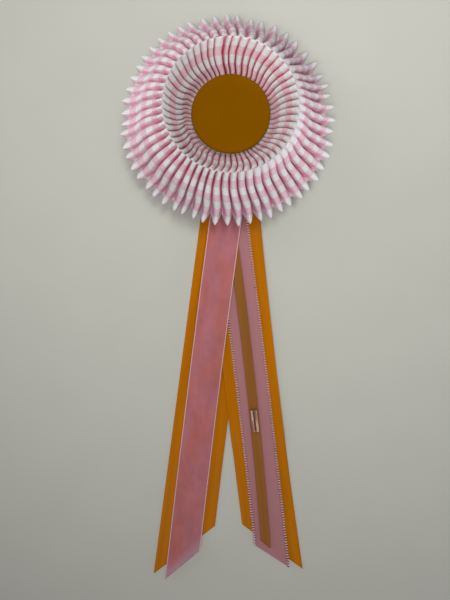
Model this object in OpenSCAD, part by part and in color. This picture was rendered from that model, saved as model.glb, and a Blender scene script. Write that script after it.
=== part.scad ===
// Ribbon rosette, lying face up on a flat surface. Millimetres.
// Origin: the middle of the pin clasp, on the plane that the rosette lies on.
// +X is to the right, +Y is away from the tails, +Z is up, out of the rosette's face.

/* [Pleated head] */
// Number of pleats round each frill
pleats = 55; // [44:1:60]
// Width of the gingham ribbon that each frill is pleated from
gingham_w = 38; // [36:0.5:40]
// Radius of the crest where the two frills are joined
crest_r = 41.9; // [41:0.1:43]
// Height of the crest
crest_z = 34.6; // [34:0.1:36]
// Depth of the zigzag that the pleats make along the crest
crest_wave = 2.6; // [2:0.1:3]
// Thickness of each frill at the crest
crest_wall = 1.1; // [1:0.1:1.3]
// How high a pleat's shoulder stands, as a share of its depth
shoulder = 0.62; // [0.5:0.01:0.75]
// How far the outer frill rides up where it crosses the tails
tail_lift = 4.8; // [4.7:0.1:6]

/* [Centre button] */
// Radius of the covered button
button_r = 25.4; // [24:0.1:25.6]
// Thickness of the button at its rim
button_rim = 4; // [3:0.1:5]
// Rise of the button's crown above its rim
button_crown = 2; // [0.5:0.1:4]
// Radius of the shank that holds the button to the backing disc
shank_r = 4; // [3:0.1:6]

/* [Tails] */
// Thickness of each ribbon tail
tail_wall = 1; // [1:0.05:1.1]
// Width of the two wide satin tails
satin_w = 38; // [36:0.5:38]
// Width of the pink tail
pink_w = 22.8; // [20:0.1:23]
// Width of the velvet tail
velvet_w = 21.6; // [20:0.1:22]
// Width of the narrow brown tail
brown_w = 6.2; // [6:0.1:7]

/* [Beads] */
// Length of a bugle bead
bead_l = 15; // [12:0.5:16]
// Diameter of a bugle bead over its corners
bead_d = 2.4; // [2:0.1:2.4]
// Diameter of the thread hole through a bead
bead_hole_d = 0.9; // [0.6:0.1:1]
// Twist of a bead from end to end
bead_twist = 150; // [0:10:240]

/* [Back] */
// Radius of the backing disc
disc_r = 40; // [38:0.5:42]
// Thickness of the backing disc
disc_t = 1.2; // [1:0.1:1.2]
// Length of the pin clasp
pin_l = 30; // [25:1:40]
// Width of the pin clasp
pin_w = 5; // [4:0.5:8]
// Height of the pin clasp, from the surface to the backing disc
pin_h = 4; // [4:0.1:4.4]

/* [Hidden] */

gap = 0.2;
round_fn = 96;
disc_top = pin_h + disc_t;

// Columns of the frill tables. A row is a section across the ribbon:
// share of the ribbon's width, slope down to it, depth of the pleat there, the angle at which
// that depth dips, wall, swirl of the pleat round the head, and share of the lift over the tails.
SHARE = 0;
SLOPE = 1;
DEPTH = 2;
DIP = 3;
WALL = 4;
SWIRL = 5;
LIFT = 6;
outer_rows = [
    [0,     0,  crest_wave, 0,  crest_wall, 0,    0],
    [1/7,   60, 4.2,        32, 2.2,        -0.8, 0],
    [2.5/7, 57, 6.6,        36, 2.5,        -1.4, 0.2],
    [4.5/7, 50, 7,          48, 2.5,        -0.4, 0.6],
    [6/7,   34, 7,          62, 2.5,        1.4,  1],
    [1,     18, 7.4,        39, 2.5,        2.6,  1]
];
inner_rows = [
    [0,     0,  crest_wave, 0,  crest_wall, 0,    0],
    [1/7,   54, 4,          38, 2,          0,    0],
    [2.5/7, 52, 4,          40, 2,          0.6,  0],
    [4/7,   52, 3.6,        45, 2,          0,    0],
    [1,     8,  2.2,        80, 1.6,        0,    0]
];
OUTWARDS = 1;
INWARDS = -1;

// Angle of the first pleat round the head.
first_pleat = 3.2;

// A pleat's wave: share of the pitch, and height above the groove as a share of the depth.
wave = [[0, 1], [0.25, shoulder], [0.5, 0], [0.75, shoulder]];

// The rim of the head rests over the tails within this half angle, and eases down past it.
lift_half_angle = 21;
lift_ease_angle = 20;
tails_direction = 270;

// Columns of the tail table: where the middle of the tail passes under the rim, its lean,
// how far it bows sideways half way down, its width, and where its two long edges end.
RIM_X = 0;
LEAN = 1;
BOW = 2;
WIDTH = 3;
LEFT_END = 4;
RIGHT_END = 5;
satin_left  = [-1.55, -7.5, 0,    satin_w,  -308.3, -275.5];
satin_right = [1.75,  6.95, -1.5, satin_w,  -274.4, -305.1];
pink        = [1,     6.9,  0.9,  pink_w,   -286.8, -302.9];
brown       = [0.2,   6.1,  1.9,  brown_w,  -284.1, -289.5];
velvet      = [-3.3,  -7.1, -0.7, velvet_w, -311,   -291];
rim_y = -67;
tail_top_y = -25;
tail_steps = 8;

// The tails lie on the backing disc, run down to the surface and lie there in layers.
// Each row says how many layers lie below a tail at that place.
layer = tail_wall + gap;
disc_edge_y = -(disc_r + 1);
landing_y = -58;
crotch_y = -212;
past_crotch_y = -226;
far_y = -330;
under_layers  = [[landing_y, 0], [far_y, 0]];
right_layers  = [[landing_y, 1], [crotch_y, 1], [past_crotch_y, 0], [far_y, 0]];
pink_layers   = [[landing_y, 2], [crotch_y, 2], [past_crotch_y, 1], [far_y, 1]];
brown_layers  = [[landing_y, 3], [crotch_y, 3], [past_crotch_y, 2], [far_y, 2]];
velvet_layers = [[landing_y, 4], [-110, 4], [-141, 3], [-173, 2], [-190, 1], [far_y, 1]];

bead_mid = [16.6, -202.1];
bead_lean = 7;
bead_spacing = bead_d + gap;
bead_sides = 6;
bead_slices = 12;

knuckle_l = 5;
foot_h = 3;
wire_r = 0.5;

// A point of the ridge line of a frill, as [radius, height], summed from the crest.
function crest_start(side) = [crest_r + side * (crest_wave / 2 + crest_wall + gap / 2), crest_z];
function ridge(rows, side, i) =
    i == 0 ? crest_start(side)
    : let (run = (rows[i][SHARE] - rows[i - 1][SHARE]) * gingham_w)
      ridge(rows, side, i - 1) + run * [side * cos(rows[i][SLOPE]), -sin(rows[i][SLOPE])];
function inward(row, side) = [-side * cos(row[DIP]), -sin(row[DIP])];

// How much of the lift over the tails there is at an angle round the head.
function from_tails(a) = abs(((a - tails_direction + 540) % 360) - 180);
function lift_share(a) =
    let (d = (from_tails(a) - lift_half_angle) / lift_ease_angle)
    d <= 0 ? 1 : d >= 1 ? 0 : (1 + cos(180 * d)) / 2;

// The frill's surface point at section i and column j, sunk by the wall for its back.
function frill_point(rows, side, i, j, back) =
    let (row = rows[i],
         step = wave[j % len(wave)],
         turn = side == OUTWARDS ? 0 : 0.5,
         a = first_pleat + 360 / pleats * (floor(j / len(wave)) + step[0] + turn) + row[SWIRL],
         sink = row[DEPTH] * (1 - step[1]) + (back ? row[WALL] : 0),
         p = ridge(rows, side, i) + sink * inward(row, side))
    [p[0] * cos(a), p[0] * sin(a), p[1] + tail_lift * row[LIFT] * lift_share(a)];

// The two triangles between four points that run round a face in order.
function quad(a, b, c, d) = [[a, b, c], [a, c, d]];

// A pleated ring of ribbon: its shown surface, its back, and its two cut edges.
module frill(rows, side) {
    cols = pleats * len(wave);
    last = len(rows) - 1;
    shown = [for (i = [0 : last], j = [0 : cols - 1]) frill_point(rows, side, i, j, false)];
    backs = [for (i = [0 : last], j = [0 : cols - 1]) frill_point(rows, side, i, j, true)];
    n = len(shown);
    faces = [
        for (i = [0 : last - 1], j = [0 : cols - 1])
            let (a = i * cols + j, b = i * cols + (j + 1) % cols, c = b + cols, d = a + cols)
            each concat(quad(a, b, c, d), quad(n + a, n + d, n + c, n + b)),
        for (j = [0 : cols - 1])
            let (k = (j + 1) % cols, e = last * cols)
            each concat(quad(j, n + j, n + k, k), quad(e + j, e + k, n + e + k, n + e + j))
    ];
    turned = side == OUTWARDS ? faces : [for (f = faces) [f[2], f[1], f[0]]];
    polyhedron(concat(shown, backs), turned);
}

module inner_frill() {
    color("mistyrose") frill(inner_rows, INWARDS);
}

module outer_frill() {
    color("pink") frill(outer_rows, OUTWARDS);
}

// The covered button: a round-edged pad with a low crown, on a shank down to the disc.
button_z = ridge(inner_rows, INWARDS, 3)[1] + gap;
function crown_z(r) = button_z + button_rim + button_crown * (1 - pow(r / (button_r - button_rim / 2), 2));
module centre_button() {
    edge_r = button_rim / 2;
    flat_r = button_r - edge_r;
    crown = [for (k = [0 : 8]) [flat_r * k / 8, crown_z(flat_r * k / 8)]];
    rim = [for (a = [75 : -15 : -90]) [flat_r + edge_r * cos(a), button_z + edge_r + edge_r * sin(a)]];
    color("saddlebrown") {
        rotate_extrude($fn = round_fn)
            polygon(concat(crown, rim, [[shank_r, button_z], [shank_r, disc_top + gap], [0, disc_top + gap]]));
    }
}

// The middle of a tail at a distance along Y.
function tail_x(t, y) =
    let (end = min(t[LEFT_END], t[RIGHT_END]), s = (rim_y - y) / (rim_y - end))
    t[RIM_X] + tan(t[LEAN]) * (rim_y - y) + 4 * t[BOW] * s * (1 - s);
function tail_edge(t, side, end) = [
    for (k = [0 : tail_steps])
        let (y = tail_top_y + (end - tail_top_y) * k / tail_steps)
        [tail_x(t, y) + side * t[WIDTH] / 2 / cos(t[LEAN]), y]
];
function flipped(list) = [for (k = [len(list) - 1 : -1 : 0]) list[k]];

// The underside of a tail seen from the side, as [y, z].
function underside(layers) = concat(
    [for (y = [tail_top_y + 1, disc_edge_y]) [y, disc_top + gap + layers[0][1] * layer]],
    [for (row = layers) [row[0], row[1] * layer]]
);

// A tail: its outline from above, kept where its side view has cloth.
module tail(t, layers) {
    under = underside(layers);
    over = [for (p = under) [p[0], p[1] + tail_wall]];
    intersection() {
        linear_extrude(disc_top + 10 * layer)
            polygon(concat(tail_edge(t, -1, t[LEFT_END]), flipped(tail_edge(t, 1, t[RIGHT_END]))));
        rotate([90, 0, 90])
            linear_extrude(4 * disc_r, center = true)
                polygon(concat(under, flipped(over)));
    }
}

module tail_satin_left() {
    color("darkorange") tail(satin_left, under_layers);
}

module tail_satin_right() {
    color("orange") tail(satin_right, right_layers);
}

module tail_pink() {
    color("lightpink") tail(pink, pink_layers);
}

module tail_brown() {
    color("peru") tail(brown, brown_layers);
}

module tail_velvet() {
    color("rosybrown") tail(velvet, velvet_layers);
}

// A twisted six-sided tube with a thread hole, lying on the narrow tail.
module bead(side) {
    lying_z = brown_layers[1][1] * layer + tail_wall + gap + bead_d / 2;
    translate([bead_mid[0], bead_mid[1], lying_z])
        rotate(bead_lean)
            translate([side * bead_spacing / 2, 0, 0])
                rotate([90, 0, 0])
                    difference() {
                        linear_extrude(bead_l, center = true, twist = side * bead_twist, slices = bead_slices)
                            circle(d = bead_d, $fn = bead_sides);
                        cylinder(h = bead_l + 2, d = bead_hole_d, center = true, $fn = 24);
                    }
}

module bead_left() {
    color("lightsalmon") bead(-1);
}

module bead_right() {
    color("lightsalmon") bead(1);
}

module backing_disc() {
    color("ivory")
        translate([0, 0, pin_h])
            cylinder(h = disc_t, r = disc_r, $fn = round_fn);
}

// The pin clasp: a bar on the disc, a knuckle and a catch that stand on the surface,
// and the wire between them.
module pin_clasp() {
    foot_x = pin_l / 2 - knuckle_l;
    color("silver") {
        translate([-pin_l / 2, -pin_w / 2, foot_h])
            cube([pin_l, pin_w, pin_h - foot_h]);
        for (x = [-pin_l / 2, foot_x])
            translate([x, -pin_w / 2, 0])
                cube([knuckle_l, pin_w, foot_h]);
        translate([0, 0, foot_h / 2])
            rotate([0, 90, 0])
                cylinder(h = 2 * foot_x, r = wire_r, center = true, $fn = 24);
    }
}

inner_frill();
outer_frill();
centre_button();
tail_satin_left();
tail_satin_right();
tail_pink();
tail_brown();
tail_velvet();
bead_left();
bead_right();
backing_disc();
pin_clasp();
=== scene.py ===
"""Dresses a ribbon rosette that lies face up: pleated gingham head, covered button, ribbon tails.

Lengths and places are in millimetres, in the part's own frame, until a mesh is finished, when it
is scaled to metres. Azimuths are in degrees, anticlockwise from +X as the face is seen.
"""

import logging
import math
import random
from bisect import bisect_right
from dataclasses import dataclass
from enum import Enum
from typing import Callable, Sequence

import bmesh
import bpy
from mathutils import Matrix, Vector


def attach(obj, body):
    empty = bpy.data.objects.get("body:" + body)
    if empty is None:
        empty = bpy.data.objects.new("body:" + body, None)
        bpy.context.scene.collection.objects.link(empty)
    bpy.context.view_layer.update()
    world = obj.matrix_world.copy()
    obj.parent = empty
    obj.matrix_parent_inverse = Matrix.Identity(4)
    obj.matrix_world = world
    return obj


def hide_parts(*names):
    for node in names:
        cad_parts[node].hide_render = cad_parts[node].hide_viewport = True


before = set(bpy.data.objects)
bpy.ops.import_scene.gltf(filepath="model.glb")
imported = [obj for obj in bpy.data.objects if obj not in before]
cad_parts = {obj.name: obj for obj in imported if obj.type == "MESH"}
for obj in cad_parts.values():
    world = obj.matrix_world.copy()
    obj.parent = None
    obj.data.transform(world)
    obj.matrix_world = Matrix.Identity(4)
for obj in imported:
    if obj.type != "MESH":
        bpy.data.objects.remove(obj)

MM = 0.001
WELD = 0.001
BODY = "root"
GROUND = "floor"

Pair = tuple[float, float]
Point = tuple[float, float, float]
Colour = tuple[float, float, float]
Mesh = bmesh.types.BMesh
Piece = bpy.types.Object
Plug = bpy.types.NodeSocket
Fed = Plug | float | Colour

# A dial holds one value for each of twelve directions round the head, the first at azimuth 0.
Dial = tuple[float, ...]
EVEN: Dial = (0.0,) * 12

log = logging.getLogger("rosette")


# ---------------------------------------------------------------- small sums


def between(low: float, high: float, share: float) -> float:
    """The value at a share of the way from low to high."""
    return low + (high - low) * share


def eased(share: float) -> float:
    """A share from 0 to 1 that starts and ends gently."""
    share = min(1.0, max(0.0, share))
    return share * share * (3 - 2 * share)


def ramp(value: float, start: float, end: float) -> float:
    """Rises gently from 0 to 1 as a value goes from start to end."""
    return eased((value - start) / (end - start))


def through(places: Sequence[float], values: Sequence[float], place: float) -> float:
    """A smooth curve through a few values.

    Args:
        places: where the values stand, in rising order.
        values: one value for each place.
        place: where the curve is read.

    Returns:
        The curve's value, which never swings past the values on either side of it.
    """
    if place <= places[0]:
        return values[0]
    if place >= places[-1]:
        return values[-1]
    k = bisect_right(places, place) - 1
    slopes = [
        (values[i + 1] - values[i]) / (places[i + 1] - places[i]) for i in range(len(places) - 1)
    ]
    bends = [0.0 if a * b <= 0 else 2 * a * b / (a + b) for a, b in zip(slopes, slopes[1:])]
    tangents = [slopes[0], *bends, slopes[-1]]
    width = places[k + 1] - places[k]
    s = (place - places[k]) / width
    return (
        (2 * s**3 - 3 * s**2 + 1) * values[k]
        + (s**3 - 2 * s**2 + s) * width * tangents[k]
        + (3 * s**2 - 2 * s**3) * values[k + 1]
        + (s**3 - s**2) * width * tangents[k + 1]
    )


def read(dial: Dial, azimuth: float) -> float:
    """A smooth closed curve through a dial's values.

    Args:
        dial: the values.
        azimuth: where the curve is read.

    Returns:
        The curve's value.
    """
    turn = azimuth / 360 * len(dial)
    k = math.floor(turn)
    s = turn - k
    a, b, c, d = (dial[(k + i) % len(dial)] for i in (-1, 0, 1, 2))
    bend = s * s * (a - 2.5 * b + 2 * c - d / 2)
    return b + s * (c - a) / 2 + bend + s**3 * (1.5 * (b - c) + (d - a) / 2)


def turned_from(azimuth: float, direction: float) -> float:
    """The angle between two azimuths, from 0 to 180 degrees."""
    return abs((azimuth - direction + 180) % 360 - 180)


# ---------------------------------------------------------------- meshes


def new_mesh() -> Mesh:
    """Starts a bmesh.

    Returns:
        An empty one, with a map for the cloth's own lengths.
    """
    mesh = bmesh.new()
    mesh.loops.layers.uv.new("cloth")
    return mesh


def unrolled(columns: int, rows: int) -> Mesh:
    """A flat strip of cloth.

    Args:
        columns: number of faces along x.
        rows: number of faces along y.

    Returns:
        A grid from 0 to 1 in x and y.
    """
    mesh = new_mesh()
    bmesh.ops.create_grid(
        mesh, x_segments=columns, y_segments=rows, size=0.5,
        matrix=Matrix.Translation((0.5, 0.5, 0)),
    )
    return mesh


def shape_strip(
    mesh: Mesh,
    place: Callable[[float, float], Point],
    cloth: Callable[[float, float], Pair],
    marks: dict[str, Callable[[float, float], float]] | None = None,
) -> None:
    """Moves a flat strip into its shape.

    Args:
        mesh: the strip, from 0 to 1 in x and y.
        place: gives a point's place from its two shares.
        cloth: gives a point's lengths along and across the cloth from its two shares.
        marks: attributes for the finish, each worked out from the two shares.
    """
    layers = {name: mesh.verts.layers.float.new(name) for name in marks or {}}
    weave = mesh.loops.layers.uv["cloth"]
    for face in mesh.faces:
        middle = face.calc_center_median()
        for loop in face.loops:
            own_side = loop.vert.co.lerp(middle, 1e-4)
            loop[weave].uv = cloth(own_side.x, own_side.y)
    for vert in mesh.verts:
        along, across = vert.co.x, vert.co.y
        for name, layer in layers.items():
            vert[layer] = marks[name](along, across)
        vert.co = place(along, across)


def face_up(mesh: Mesh) -> None:
    """Turns an open strip over if more of it faces down than up.

    Args:
        mesh: the strip.
    """
    mesh.normal_update()
    if sum(face.normal.z * face.calc_area() for face in mesh.faces) < 0:
        bmesh.ops.reverse_faces(mesh, faces=mesh.faces[:])


def rotate(mesh: Mesh, degrees: float, axis: str) -> None:
    """Turns a mesh round an axis of the frame."""
    matrix = Matrix.Rotation(math.radians(degrees), 3, axis)
    bmesh.ops.rotate(mesh, verts=mesh.verts, cent=(0, 0, 0), matrix=matrix)


def soften(mesh: Mesh, edges: list[bmesh.types.BMEdge], offset: float, segments: int) -> None:
    """Rounds some edges of a mesh."""
    bmesh.ops.bevel(
        mesh, geom=edges, offset=offset, affect="EDGES", segments=segments, profile=0.5,
        material=-1,
    )


def in_scene(name: str, data: bpy.types.ID) -> Piece:
    """Puts a mesh, a lamp or a camera in the scene.

    Args:
        name: the object's name.
        data: what it holds.

    Returns:
        The object, at the origin.
    """
    item = bpy.data.objects.new(name, data)
    bpy.context.scene.collection.objects.link(item)
    return item


def as_object(name: str, mesh: Mesh, coat: bpy.types.Material) -> Piece:
    """Makes a bmesh an object.

    Args:
        name: the object's name.
        mesh: its bmesh, in metres, which is used up.
        coat: its material.

    Returns:
        The object, at the origin.
    """
    data = bpy.data.meshes.new(name)
    mesh.to_mesh(data)
    mesh.free()
    data.materials.append(coat)
    return in_scene(name, data)


def finish_piece(
    name: str, mesh: Mesh, coat: bpy.types.Material, slot: str, stands_for: str = ""
) -> Piece:
    """Makes a bmesh a piece that rides on the rosette.

    Args:
        name: the piece's name.
        mesh: its bmesh, in millimetres, which is used up.
        coat: its material.
        slot: not used.
        stands_for: the solid that it replaces, if any.

    Returns:
        The finished piece.
    """
    bmesh.ops.scale(mesh, vec=(MM, MM, MM), verts=mesh.verts)
    for face in mesh.faces:
        face.smooth = True
    piece = as_object(name, mesh, coat)
    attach(piece, BODY)
    if stands_for:
        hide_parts(stands_for)
    return piece


def thicken(piece: Piece, wall: float) -> None:
    """Gives a sheet its thickness behind its shown side.

    Args:
        piece: the sheet.
        wall: its thickness in millimetres.
    """
    solid = piece.modifiers.new("cloth thickness", "SOLIDIFY")
    solid.thickness = wall * MM
    solid.offset = -1
    solid.use_even_offset = False
    solid.use_rim = True


# ---------------------------------------------------------------- finishes


class Bench:
    """Lays out one material's nodes round a Principled shader."""

    def __init__(self, name: str) -> None:
        """Starts a material.

        Args:
            name: its name.
        """
        self.material = bpy.data.materials.new(name)
        self.material.use_nodes = True
        self.tree = self.material.node_tree
        self.shader = self.tree.nodes["Principled BSDF"]

    def plain(self, **sockets: float | Colour) -> None:
        """Sets sockets of the shader, spaces written as underscores, to plain values."""
        for socket, value in sockets.items():
            self.feed(self.shader.inputs[socket.replace("_", " ")], value)

    def feed(self, plug: Plug, value: Fed) -> None:
        """Links a socket to an input, or sets the input to a plain value.

        Args:
            plug: the input.
            value: the socket, number or colour.
        """
        if isinstance(value, Plug):
            self.tree.links.new(value, plug)
        elif isinstance(value, tuple) and plug.type == "RGBA":
            plug.default_value = (*value, 1.0)
        else:
            plug.default_value = value

    def node(self, kind: str, *fed: Fed, **settings: str) -> bpy.types.Node:
        """Adds a node.

        Args:
            kind: its type.
            fed: what goes into its first inputs.
            settings: its plain properties.

        Returns:
            The node.
        """
        node = self.tree.nodes.new(kind)
        for key, value in settings.items():
            setattr(node, key, value)
        for plug, value in zip(node.inputs, fed):
            self.feed(plug, value)
        return node

    def sum(self, operation: str, *values: Fed) -> Plug:
        """A Math node's result for one to three numbers."""
        return self.node("ShaderNodeMath", *values, operation=operation).outputs[0]

    def times(self, first: Fed, *others: Fed) -> Plug:
        """The product of a few numbers.

        Args:
            first: the first of them.
            others: the rest.

        Returns:
            The product.
        """
        for other in others:
            first = self.sum("MULTIPLY", first, other)
        return first

    def wave(self, kind: str, length: Fed, turns: float) -> Plug:
        """The sine or cosine of a length times a number."""
        return self.sum(kind, self.times(length, turns))

    def step(self, value: Fed, low: float, high: float) -> Plug:
        """Rises smoothly from 0 to 1 as a value goes from low to high."""
        fed = (value, low, high, 0.0, 1.0)
        return self.node("ShaderNodeMapRange", *fed, interpolation_type="SMOOTHSTEP").outputs[0]

    def spread(self, value: Fed, low: float, high: float) -> Plug:
        """A number from 0 to 1 spread from low to high."""
        return self.sum("MULTIPLY_ADD", value, high - low, low)

    def varied(self, value: Fed, low: float, high: float) -> Plug:
        """Noise spread from low to high."""
        return self.node("ShaderNodeMapRange", value, 0.25, 0.75, low, high).outputs[0]

    def mix(self, share: Fed, first: Fed, second: Fed) -> Plug:
        """A blend of two colours.

        Args:
            share: the second colour's share.
            first: the first colour.
            second: the second colour.

        Returns:
            The blend.
        """
        node = self.node("ShaderNodeMix", share, data_type="RGBA")
        self.feed(node.inputs[6], first)
        self.feed(node.inputs[7], second)
        return node.outputs[2]

    def tinted(self, colour: Fed, value: Fed) -> Plug:
        """A colour made lighter or darker.

        Args:
            colour: the colour.
            value: what it is multiplied by.

        Returns:
            The new colour.
        """
        node = self.node("ShaderNodeVectorMath", colour, operation="SCALE")
        self.feed(node.inputs["Scale"], value)
        return node.outputs[0]

    def paint(self, colour: Fed, *shade: Fed) -> None:
        """Gives the shader its colour, made lighter or darker by a number if there is one."""
        painted = self.tinted(colour, *shade) if shade else colour
        self.feed(self.shader.inputs["Base Color"], painted)

    def cloth(self) -> Plug:
        """The cloth's own lengths, from its map."""
        return self.node("ShaderNodeUVMap", uv_map="cloth").outputs[0]

    def place(self) -> Plug:
        """The place on the object, in metres."""
        return self.node("ShaderNodeTexCoord").outputs["Object"]

    def mark(self, name: str) -> Plug:
        """A number that the mesh carries at each point."""
        return self.node("ShaderNodeAttribute", attribute_name=name).outputs["Fac"]

    def parts(self, vector: Fed) -> list[Plug]:
        """A vector's x, y and z."""
        return list(self.node("ShaderNodeSeparateXYZ", vector).outputs)

    def noise(self, vector: Fed, scale: float, detail: float = 2.0, rough: float = 0.5) -> Plug:
        """Soft noise.

        Args:
            vector: where it is read.
            scale: how fine it is.
            detail: how many finer layers it has.
            rough: how strong they are.

        Returns:
            A number from 0 to 1.
        """
        node = self.node("ShaderNodeTexNoise", vector)
        for socket, value in (("Scale", scale), ("Detail", detail), ("Roughness", rough)):
            node.inputs[socket].default_value = value
        return node.outputs["Fac"]

    def streaks(self, vector: Fed, scale: Point, detail: float = 2.0) -> Plug:
        """Soft noise that is finer along some axes.

        Args:
            vector: where it is read.
            scale: how fine it is along each axis.
            detail: how many finer layers it has.

        Returns:
            A number from 0 to 1.
        """
        node = self.node("ShaderNodeMapping", vector)
        node.inputs["Scale"].default_value = scale
        return self.noise(node.outputs[0], 1.0, detail)

    def inset(self, across: Fed, width: float) -> Plug:
        """How far a point of a ribbon is from its nearer edge."""
        aside = self.sum("ABSOLUTE", self.sum("SUBTRACT", across, width / 2))
        return self.sum("SUBTRACT", width / 2, aside)

    def relief(self, height: Fed, depth: float, strength: float) -> None:
        """Bumps the surface.

        Args:
            height: the bumps' height, from 0 to 1.
            depth: what a height of 1 is in millimetres.
            strength: how strong they are.
        """
        node = self.node("ShaderNodeBump")
        for socket, value in (("Strength", strength), ("Distance", depth * MM), ("Height", height)):
            self.feed(node.inputs[socket], value)
        self.feed(self.shader.inputs["Normal"], node.outputs[0])

    def plain_weave(self, along: Fed, across: Fed, thread: float) -> Plug:
        """The height of a plain weave.

        Args:
            along: length along the cloth.
            across: length across the cloth.
            thread: distance between threads, in the same unit.

        Returns:
            A height from 0 to 1, where warp and weft take turns to lie on top.
        """
        waves = [self.wave("SINE", length, math.pi / thread) for length in (along, across)]
        return self.sum("MULTIPLY_ADD", self.times(*waves), 0.5, 0.5)


class Finish:
    """A finish, which lays out its own material."""

    def material(self, name: str) -> bpy.types.Material:
        """Makes the finish a material.

        Args:
            name: the material's name.

        Returns:
            The material.
        """
        bench = Bench(name)
        self.lay_out(bench)
        return bench.material

    def lay_out(self, bench: Bench) -> None:
        """Lays out the finish's own nodes."""
        raise NotImplementedError


@dataclass(frozen=True)
class Gingham(Finish):
    """Checked cotton ribbon. Its map counts checks, along and across."""

    white: Colour = (0.80, 0.80, 0.82)
    light: Colour = (0.80, 0.56, 0.63)
    deep: Colour = (0.77, 0.40, 0.50)
    # Groove colours are painted shade with pink bounce light, on pink and on white stripes.
    fold: Colour = (0.92, 0.20, 0.32)
    fold_pale: Colour = (0.92, 0.34, 0.44)
    hem: Colour = (0.76, 0.76, 0.78)
    # How much of the painted groove shade the deepest grooves take.
    fold_share: float = 0.9
    blur: float = 0.12
    hem_width: float = 0.1
    rows: int = 7
    threads: float = 14.0

    def lay_out(self, bench: Bench) -> None:
        """Lays out the checks, the painted groove shade, the hems, the weave and the painted light.

        Args:
            bench: the material's bench.
        """
        bench.plain(Roughness=0.9, Specular_IOR_Level=0.15)
        along, across, _ = bench.parts(bench.cloth())
        waves = bench.wave("COSINE", along, math.pi), bench.wave("SINE", across, math.pi)
        stripes = [bench.step(wave, -self.blur, self.blur) for wave in waves]
        whiteness = bench.times(bench.sum("ADD", *stripes), 0.5)
        pink = bench.mix(bench.step(whiteness, 0.0, 0.5), self.deep, self.light)
        checked = bench.mix(bench.step(whiteness, 0.5, 1.0), pink, self.white)
        # Painted shade with pink bounce light, deepest in the grooves that the frill marks.
        groove = bench.times(bench.step(bench.mark("fold"), 0.06, 0.6), self.fold_share)
        grooved = bench.mix(groove, checked, bench.mix(stripes[1], self.fold, self.fold_pale))
        half_hem = self.hem_width * 0.5
        first_hem = bench.sum("SUBTRACT", 1.0, bench.step(across, half_hem, self.hem_width))
        last_hem = bench.step(across, self.rows - self.hem_width, self.rows - half_hem)
        hemmed = bench.mix(bench.sum("MAXIMUM", first_hem, last_hem), grooved, self.hem)
        weave = bench.plain_weave(along, across, 1 / self.threads)
        cloudy = bench.varied(bench.noise(bench.place(), 900.0, 3.0), 0.93, 1.05)
        # The colour is multiplied by the painted light and shade that the frill marks.
        bench.paint(
            hemmed, bench.times(cloudy, bench.spread(weave, 0.96, 1.04), bench.mark("tone")),
        )
        bench.relief(weave, 0.08, 0.6)


@dataclass(frozen=True)
class Satin(Finish):
    """Ribbon with a lengthwise sheen. Its map is in millimetres, across and along."""

    colour: Colour
    streak: float = 0.1
    roughness: float = 0.42

    def lay_out(self, bench: Bench) -> None:
        """Lays out the lengthwise threads, the broad bands and the sheen along them.

        Args:
            bench: the material's bench.
        """
        bench.plain(Roughness=self.roughness, Anisotropic=0.6, Specular_IOR_Level=0.04)
        cloth = bench.cloth()
        tangent = bench.node("ShaderNodeTangent", direction_type="UV_MAP", uv_map="cloth")
        bench.feed(bench.shader.inputs["Tangent"], tangent.outputs[0])
        threads = bench.streaks(cloth, (5.0, 0.05, 1.0), 3.0)
        bands = bench.varied(bench.streaks(cloth, (0.25, 0.012, 1.0), 1.0), 0.9, 1.08)
        streaked = bench.varied(threads, 1 - self.streak, 1 + self.streak)
        bench.paint(self.colour, bench.times(streaked, bands))
        bench.relief(threads, 0.03, 0.5)


@dataclass(frozen=True)
class Velvet(Finish):
    """Short nap between two smooth edges. Its map is in millimetres, across and along."""

    nap: Colour
    rosy: Colour
    edge: Colour
    # Painted sheen on the lifted end near the cut, and its length.
    lifted: Colour
    width: float
    edge_width: float
    lifted_length: float = 13.0

    def lay_out(self, bench: Bench) -> None:
        """Lays out the patchy nap, a painted sheen at its cut end, and the two smooth edges.

        Args:
            bench: the material's bench.
        """
        bench.plain(
            Roughness=0.9, Sheen_Weight=0.15, Sheen_Roughness=0.35, Sheen_Tint=(1.0, 0.7, 0.78),
            Specular_IOR_Level=0.05,
        )
        cloth = bench.cloth()
        across = bench.parts(cloth)[0]
        blotches = bench.streaks(cloth, (0.09, 0.05, 1.0))
        brushed = bench.streaks(cloth, (0.35, 0.16, 1.0))
        pile = bench.noise(cloth, 4.0, 2.0, 0.7)
        shade = bench.times(
            bench.varied(blotches, 0.88, 1.1), bench.varied(brushed, 0.95, 1.05),
            bench.varied(pile, 0.92, 1.06),
        )
        inset = bench.inset(across, self.width)
        napped = bench.step(inset, self.edge_width * 0.8, self.edge_width * 1.2)
        patchy = bench.streaks(cloth, (0.08, 0.03, 1.0), 1.0)
        pile_up = bench.mix(bench.step(patchy, 0.38, 0.62), self.nap, self.rosy)
        # Painted sheen over the last millimetres before the cut.
        to_cut = bench.sum("ADD", bench.mark("to_cut"), bench.varied(blotches, -3.0, 3.0))
        pile_up = bench.mix(bench.step(to_cut, 1.0, self.lifted_length), self.lifted, pile_up)
        bench.paint(bench.mix(napped, self.edge, bench.tinted(pile_up, shade)))
        bench.relief(bench.times(pile, napped), 0.15, 0.5)


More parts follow.
